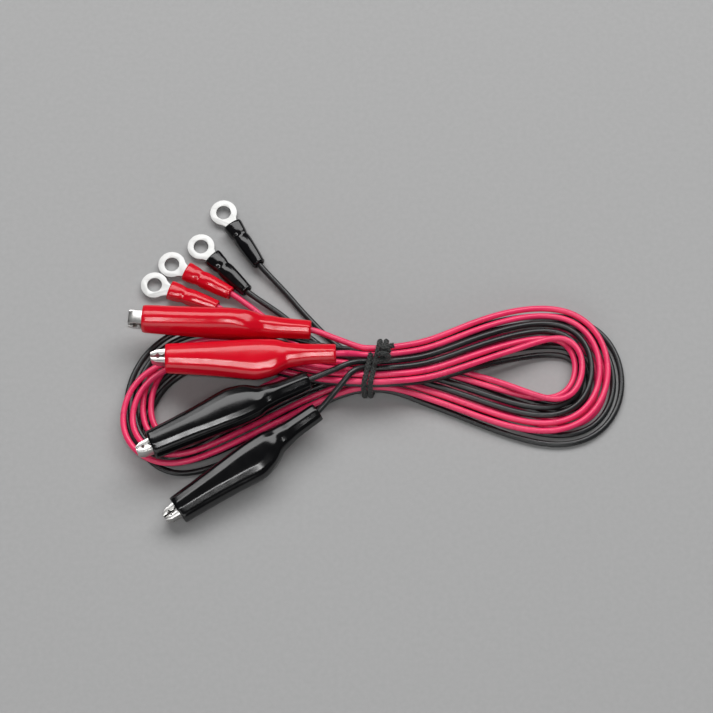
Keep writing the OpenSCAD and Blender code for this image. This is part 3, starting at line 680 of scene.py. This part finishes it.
def sleeve_relief(x, a):
    """A pinch behind the sleeve's mouth, a swell over the crimp, and the turned-out tail."""
    off = abs(a - math.pi / 2)
    back = x + SLEEVE_AT
    return (bump_at(MOUTH_PINCH, back) + bump_at(CRIMP_DENT, back, off) + bump_at(CRIMP_SWELL, back, off)
            + bump_at(TURNED_TAIL, back))


def make_boots():
    """Vinyl boots round the clips."""
    for lead, name in enumerate(LEADS):
        place = clip_place(lead)
        boot = hollow_skin(name + "_vinyl_boot", BOOT_SECTIONS, BOOT_WALL, BOOT_RINGS, BOOT_SIDES,
                           VINYL_OF[lead], place, boot_relief, BOOT_FLAT)
        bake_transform(boot)
        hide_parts(name + "_boot")


def make_sleeves():
    """Vinyl sleeves over the terminals' barrels; returns them."""
    sleeves = []
    for lead, name in enumerate(LEADS):
        sleeve = hollow_skin(name + "_vinyl_sleeve", SLEEVE_SECTIONS, SLEEVE_WALL, SLEEVE_RINGS, SLEEVE_SIDES,
                             VINYL_OF[lead], ring_place(lead), sleeve_relief, SLEEVE_FLAT)
        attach(sleeve, "leads")
        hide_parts(name + "_sleeve")
        sleeves.append(sleeve)
    return sleeves


# metal pieces

JAW_EDGE, TERMINAL_EDGE = 0.07, 0.1
SPRING_R = PIVOT_R + PIVOT_CLEAR + 0.2 + SPRING_D / 2
SPRING_FROM, SPRING_TO = math.radians(-86), math.radians(82 + 720)
SPRING_RISE = 2.5 * (SPRING_D + 0.1)
FIXED_LEG, JAW_LEG, LEG_START = 6.5, 6, 0.5
FIXED_LEG_SPOTS, COIL_SPOTS, JAW_LEG_SPOTS, SPRING_SIDES = 13, 90, 12, 10


def make_metal():
    """Jaws, rivets and terminals with rounded stamping edges; returns the terminals."""
    rings = []
    for name in LEADS:
        for kind, body in (("fixed_jaw", "leads"), ("moving_jaw", name + "_jaw"), ("rivet", "leads")):
            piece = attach(softened(f"{name}_{kind}", JAW_EDGE, NICKEL), body)
        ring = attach(softened(f"{name}_ring", TERMINAL_EDGE, TIN), "leads")
        rings.append(ring)
    return rings


def make_springs():
    """Torsion springs round the rivets, each with two straight legs."""
    def spot(a):
        lift = (a - SPRING_FROM) / (SPRING_TO - SPRING_FROM) - 0.5
        return np.array([SPRING_R * math.cos(a), SPRING_R * math.sin(a), SPRING_RISE * lift])

    def run(a):
        return np.array([-math.sin(a), math.cos(a), 0])

    path = [spot(SPRING_FROM) - s * run(SPRING_FROM)
            for s in np.linspace(FIXED_LEG, LEG_START, FIXED_LEG_SPOTS)]
    path += [spot(a) for a in np.linspace(SPRING_FROM, SPRING_TO, COIL_SPOTS)]
    path += [spot(SPRING_TO) + s * run(SPRING_TO) for s in np.linspace(LEG_START, JAW_LEG, JAW_LEG_SPOTS)]
    for lead, name in enumerate(LEADS):
        place = clip_place(lead)
        spring = tube(name + "_jaw_spring", moved(place, path), SPRING_D / 2, SPRING_SIDES, SPRING_STEEL)
        outward(spring)
        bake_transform(spring)
        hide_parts(name + "_spring")


# node trees

# the braid's core as a share of the cord's radius, and the sides of the yarns and of that core
BRAID_CORE, YARN_SIDES, BRAID_CORE_SIDES = 0.9, 6, 10
# shares of a conductor's radius: middle of a strand, strand, middle strand; then fineness
STRAND_AT, STRAND_R, MIDDLE_R = 0.78, 0.22, 0.62
STRAND_SPOTS, STRAND_SIDES = 12, 8


def new_tree(name, inputs):
    """A geometry tree with the listed inputs; returns it with its two end nodes."""
    tree = bpy.data.node_groups.new(name, "GeometryNodeTree")
    tree.interface.new_socket("Geometry", in_out="INPUT", socket_type="NodeSocketGeometry")
    for label, kind in inputs:
        tree.interface.new_socket(label, in_out="INPUT", socket_type=kind)
    tree.interface.new_socket("Geometry", in_out="OUTPUT", socket_type="NodeSocketGeometry")
    return tree, tree.nodes.new("NodeGroupInput"), tree.nodes.new("NodeGroupOutput")


def sum_of(tree, operation, *terms):
    """A maths node on sockets and plain numbers."""
    node = tree.nodes.new("ShaderNodeMath")
    node.operation = operation
    for socket, term in zip(node.inputs, terms):
        if isinstance(term, (int, float)):
            socket.default_value = term
        else:
            tree.links.new(term, socket)
    return node.outputs[0]


def vector_of(tree, operation, first, second, scale=None):
    """A vector maths node on sockets."""
    node = tree.nodes.new("ShaderNodeVectorMath")
    node.operation = operation
    tree.links.new(first, node.inputs[0])
    if second is not None:
        tree.links.new(second, node.inputs[1])
    if scale is not None:
        tree.links.new(scale, node.inputs["Scale"])
    return node.outputs["Vector"]


def copies_of(tree, given, even, count):
    """Copies of the evenly stepped curve, and the number of each copy."""
    line = tree.nodes.new("GeometryNodeMeshToCurve")
    tree.links.new(given.outputs["Geometry"], line.inputs["Mesh"])
    tree.links.new(line.outputs["Curve"], even.inputs["Curve"])
    copies = tree.nodes.new("GeometryNodeDuplicateElements")
    copies.domain = "SPLINE"
    tree.links.new(even.outputs["Curve"], copies.inputs["Geometry"])
    tree.links.new(given.outputs[count], copies.inputs["Amount"])
    return copies.outputs["Geometry"], copies.outputs["Duplicate Index"]


def wound(tree, curves, angle, reach):
    """Curves set off their path by a reach, at an angle round it."""
    normal = tree.nodes.new("GeometryNodeInputNormal").outputs["Normal"]
    tangent = tree.nodes.new("GeometryNodeInputTangent").outputs["Tangent"]
    side = vector_of(tree, "CROSS_PRODUCT", tangent, normal)
    over = sum_of(tree, "MULTIPLY", sum_of(tree, "COSINE", angle), reach)
    along = sum_of(tree, "MULTIPLY", sum_of(tree, "SINE", angle), reach)
    east = vector_of(tree, "SCALE", normal, None, over)
    north = vector_of(tree, "SCALE", side, None, along)
    shifted = tree.nodes.new("GeometryNodeSetPosition")
    tree.links.new(curves, shifted.inputs["Geometry"])
    tree.links.new(vector_of(tree, "ADD", east, north), shifted.inputs["Offset"])
    return shifted.outputs["Geometry"]


def rounded_out(tree, given, out, runs):
    """Closed tubes on curves, each run a curve, a radius and a count of sides; joined and painted."""
    link = tree.links.new
    join = tree.nodes.new("GeometryNodeJoinGeometry")
    for curve, radius, sides in runs:
        profile = tree.nodes.new("GeometryNodeCurvePrimitiveCircle")
        profile.inputs["Resolution"].default_value = sides
        link(radius, profile.inputs["Radius"])
        body = tree.nodes.new("GeometryNodeCurveToMesh")
        body.inputs["Fill Caps"].default_value = True
        link(curve, body.inputs["Curve"])
        link(profile.outputs["Curve"], body.inputs["Profile Curve"])
        link(body.outputs["Mesh"], join.inputs["Geometry"])
    real = tree.nodes.new("GeometryNodeRealizeInstances")
    link(join.outputs["Geometry"], real.inputs["Geometry"])
    painted = tree.nodes.new("GeometryNodeSetMaterial")
    link(real.outputs["Geometry"], painted.inputs["Geometry"])
    link(given.outputs["Finish"], painted.inputs["Material"])
    link(painted.outputs["Geometry"], out.inputs["Geometry"])


def braid_tree():
    """Round braid: yarns wound both ways about a path, passing over and under."""
    tree, given, out = new_tree("round_braid", (
        ("Cord radius", "NodeSocketFloat"), ("Yarn radius", "NodeSocketFloat"), ("Lay", "NodeSocketFloat"),
        ("Yarns", "NodeSocketInt"), ("Weave", "NodeSocketFloat"), ("Step", "NodeSocketFloat"),
        ("Finish", "NodeSocketMaterial")))
    cord, yarns = given.outputs["Cord radius"], given.outputs["Yarns"]
    even = tree.nodes.new("GeometryNodeResampleCurve")
    even.mode = "LENGTH"
    tree.links.new(given.outputs["Step"], even.inputs["Length"])
    curves, index = copies_of(tree, given, even, "Yarns")
    run = tree.nodes.new("GeometryNodeSplineParameter").outputs["Length"]
    half = sum_of(tree, "DIVIDE", yarns, 2)
    way = sum_of(tree, "SUBTRACT", sum_of(tree, "MULTIPLY", sum_of(tree, "MODULO", index, 2), 2), 1)
    share = sum_of(tree, "DIVIDE", sum_of(tree, "FLOOR", sum_of(tree, "DIVIDE", index, 2)), half)
    laid = sum_of(tree, "MULTIPLY", way, sum_of(tree, "MULTIPLY", run, given.outputs["Lay"]))
    angle = sum_of(tree, "MULTIPLY", sum_of(tree, "ADD", laid, share), 2 * math.pi)
    quarter = sum_of(tree, "MULTIPLY", way, math.pi / 2)
    phase = sum_of(tree, "ADD", sum_of(tree, "MULTIPLY", angle, half), quarter)
    over = sum_of(tree, "MULTIPLY", sum_of(tree, "SINE", phase), given.outputs["Weave"])
    yarn = wound(tree, curves, angle, sum_of(tree, "ADD", cord, over))
    core = sum_of(tree, "MULTIPLY", cord, BRAID_CORE)
    rounded_out(tree, given, out, ((yarn, given.outputs["Yarn radius"], YARN_SIDES),
                                   (even.outputs["Curve"], core, BRAID_CORE_SIDES)))
    return tree


def strand_tree():
    """Stripped conductor: a ring of fine strands round a middle one, on carrier edges."""
    tree, given, out = new_tree("stranded_core", (
        ("Core radius", "NodeSocketFloat"), ("Strands", "NodeSocketInt"), ("Lay", "NodeSocketFloat"),
        ("Finish", "NodeSocketMaterial")))
    core = given.outputs["Core radius"]
    even = tree.nodes.new("GeometryNodeResampleCurve")
    even.inputs["Count"].default_value = STRAND_SPOTS
    curves, index = copies_of(tree, given, even, "Strands")
    run = tree.nodes.new("GeometryNodeSplineParameter").outputs["Length"]
    share = sum_of(tree, "DIVIDE", index, given.outputs["Strands"])
    turns = sum_of(tree, "ADD", share, sum_of(tree, "MULTIPLY", run, given.outputs["Lay"]))
    angle = sum_of(tree, "MULTIPLY", turns, 2 * math.pi)
    strand = wound(tree, curves, angle, sum_of(tree, "MULTIPLY", core, STRAND_AT))
    thin, middle = (sum_of(tree, "MULTIPLY", core, share_of) for share_of in (STRAND_R, MIDDLE_R))
    rounded_out(tree, given, out, ((strand, thin, STRAND_SIDES),
                                   (even.outputs["Curve"], middle, STRAND_SIDES)))
    return tree


def line_carrier(name, lines):
    """A mesh of loose edges that a tree turns into curves; lines in millimetres."""
    vertices, edges = [], []
    for points in lines:
        base = len(vertices)
        vertices += [tuple(np.array(p) * MM) for p in points]
        edges += [(base + i, base + i + 1) for i in range(len(points) - 1)]
    mesh = bpy.data.meshes.new(name)
    mesh.from_pydata(vertices, edges, [])
    carrier = bpy.data.objects.new(name, mesh)
    bpy.context.scene.collection.objects.link(carrier)
    return carrier


# the tie

TIE_OFF = WIRE_R + TIE_GAP + TIE_D / 2
TIE_HALF_Y = MID_LANE * COL
TIE_LOW = height(0, 0)
TIE_SLACK = 0.4
TIE_TOP = height(TOP_LEVEL, 0) + TIE_SLACK
TIE_HALF_Z = (TIE_TOP - TIE_LOW) / 2
TIE_PITCH = TIE_D + 0.15
TIE_FROM, TIE_TO, TIE_SPOTS = 0.05, 2.1, 260
KNOT_R = TIE_D / 2 + 0.35
KNOT_AT = np.array([2.8, 1.6, TIE_TOP + TIE_OFF + TIE_D + 0.2 + KNOT_R])
KNOT_FROM, KNOT_TO = math.radians(10), math.radians(726)
KNOT_BACK = 0.8
LONG_END, SHORT_END, END_START = 3.2, 2.6, 0.4
LONG_END_SPOTS, KNOT_SPOTS, SHORT_END_SPOTS = 8, 80, 7


def tie_spot(share):
    """Spot on the tie after that many turns, from the top far corner toward the near side."""
    arc = TIE_OFF * math.pi / 2
    legs = (2 * TIE_HALF_Y, 2 * TIE_HALF_Z, 2 * TIE_HALF_Y, 2 * TIE_HALF_Z)
    corners = ((-1, 1), (-1, -1), (1, -1), (1, 1))
    starts = ((TIE_HALF_Y, TIE_HALF_Z + TIE_OFF), (-TIE_HALF_Y - TIE_OFF, TIE_HALF_Z),
              (-TIE_HALF_Y, -TIE_HALF_Z - TIE_OFF), (TIE_HALF_Y + TIE_OFF, -TIE_HALF_Z))
    ways = ((-1, 0), (0, -1), (1, 0), (0, 1))
    s = (share - math.floor(share)) * (sum(legs) + 4 * arc)
    for leg in range(4):
        if s <= legs[leg] + arc or leg == 3:
            break
        s -= legs[leg] + arc
    if s < legs[leg]:
        y, z = (starts[leg][k] + s * ways[leg][k] for k in (0, 1))
    else:
        a = math.radians(90 * (leg + 1) + 90 * (s - legs[leg]) / arc)
        y = corners[leg][0] * TIE_HALF_Y + TIE_OFF * math.cos(a)
        z = corners[leg][1] * TIE_HALF_Z + TIE_OFF * math.sin(a)
    x = TIE_PITCH * (share - 1) + TIE_SLANT * y / (2 * TIE_HALF_Y)
    return np.array([x, y, z + (TIE_TOP + TIE_LOW) / 2])


def knot_path():
    """A short coil of the tie cord on top, with its two ends."""
    def spot(a):
        along = TIE_PITCH * (a / (2 * math.pi) - KNOT_BACK)
        return KNOT_AT + np.array([KNOT_R * math.sin(a), along, -KNOT_R * math.cos(a)])

    def run(a):
        v = np.array([KNOT_R * math.cos(a), TIE_PITCH / 2 / math.pi, KNOT_R * math.sin(a)])
        return v / np.linalg.norm(v)

    path = [spot(KNOT_FROM) - s * run(KNOT_FROM) for s in np.linspace(LONG_END, END_START, LONG_END_SPOTS)]
    path += [spot(a) for a in np.linspace(KNOT_FROM, KNOT_TO, KNOT_SPOTS)]
    path += [spot(KNOT_TO) + s * run(KNOT_TO) for s in np.linspace(END_START, SHORT_END, SHORT_END_SPOTS)]
    return path


def make_tie():
    """Braided cord twice round the waist, and its knot."""
    tree = braid_tree()
    band = [tie_spot(s) + SHIFT for s in np.linspace(TIE_FROM, TIE_TO, TIE_SPOTS)]
    knot = [p + SHIFT for p in knot_path()]
    for name, path, node in (("braided_tie", band, "tie"), ("braided_knot", knot, "tie_knot")):
        piece = from_nodes(name, line_carrier(name + "_line", [path]), tree, {
            "Cord radius": 0.56 * MM, "Yarn radius": 0.19 * MM, "Lay": 210.0, "Yarns": 8,
            "Weave": 0.08 * MM, "Step": 0.16 * MM, "Finish": CORD_YARN})
        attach(piece, "leads")
        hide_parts(node)


def make_conductors():
    """Stripped strands held in the crimp barrels."""
    lines = []
    for lead in range(len(LEADS)):
        lines.append(moved(clip_place(lead), [(x, 0, 0) for x in CLIP_CORE]))
        lines.append(moved(ring_place(lead), [(x, 0, 0) for x in RING_CORE]))
    piece = from_nodes("stripped_strands", line_carrier("strand_lines", lines), strand_tree(), {
        "Core radius": CORE_D / 2 * MM, "Strands": 10, "Lay": 90.0, "Finish": COPPER})
    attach(piece, "leads")
    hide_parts("conductor_ends")


# wires

def make_wires():
    """One lead each, from its clip round the hank to its ring terminal."""
    for lead, name in enumerate(LEADS):
        path = lead_path(lead)
        wire = tube(name + "_wire", path, WIRE_R, WIRE_SIDES, WIRE_OF[lead])
        outward(wire)
        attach(wire, "leads")
        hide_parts(name + "_hank", name + "_clip_lead", name + "_ring_lead")


# floor and light

PAPER_SHADES = ((0.385, 0.385, 0.385), (0.405, 0.405, 0.405))
PAPER_HALF = 3
ROOM_COLOUR, ROOM_LEVEL = (0.95, 0.97, 1.0, 1), 0.04
# lamps: name, place, aim, size, all in metres, and power in watts
LAMPS = (
    ("far_softbox", (0.06, 0.66, 0.9), (0, 0.02, 0), (1.7, 0.64), 15.6),
    ("near_strip", (-0.04, -0.3, 0.92), (0, 0, 0), (0.65, 0.05), 1.85),
    ("near_fill", (-0.25, -0.9, 0.38), (0, 0, 0), (1.4, 0.6), 3.4),
)


def set_stage():
    """Grey paper floor, a dim even room and three soft lamps."""
    material, tree, shader = finish("grey_paper")
    place = tree.nodes.new("ShaderNodeTexCoord").outputs["Object"]
    tooth = noise_of(tree, place, scale=700, detail=3)
    tree.links.new(ramp(tree, tooth, *PAPER_SHADES), shader.inputs["Base Color"])
    shader.inputs["Roughness"].default_value = 0.9
    shader.inputs["Specular IOR Level"].default_value = 0.15
    mesh = bpy.data.meshes.new("paper_floor")
    corners = [(x * PAPER_HALF, y * PAPER_HALF, 0) for x, y in ((-1, -1), (1, -1), (1, 1), (-1, 1))]
    mesh.from_pydata(corners, [], [(0, 1, 2, 3)])
    mesh.materials.append(material)
    floor = bpy.data.objects.new("paper_floor", mesh)
    bpy.context.scene.collection.objects.link(floor)

    world = bpy.data.worlds.new("soft_room")
    world.use_nodes = True
    room = world.node_tree.nodes["Background"]
    room.inputs["Color"].default_value = ROOM_COLOUR
    room.inputs["Strength"].default_value = ROOM_LEVEL
    bpy.context.scene.world = world
    for name, spot, aim, size, power in LAMPS:
        data = bpy.data.lights.new(name, "AREA")
        data.shape = "RECTANGLE"
        data.size, data.size_y = size
        data.energy = power
        lamp = bpy.data.objects.new(name, data)
        lamp.location = spot
        lamp.rotation_euler = (Vector(aim) - Vector(spot)).to_track_quat("-Z", "Y").to_euler()
        bpy.context.scene.collection.objects.link(lamp)


bpy.context.scene.view_settings.view_transform = "Standard"
place_camera()
terminals = make_metal()
sleeves = make_sleeves()
make_wires()
make_boots()
make_springs()
make_conductors()
make_tie()
set_stage()

bpy.context.view_layer.update()
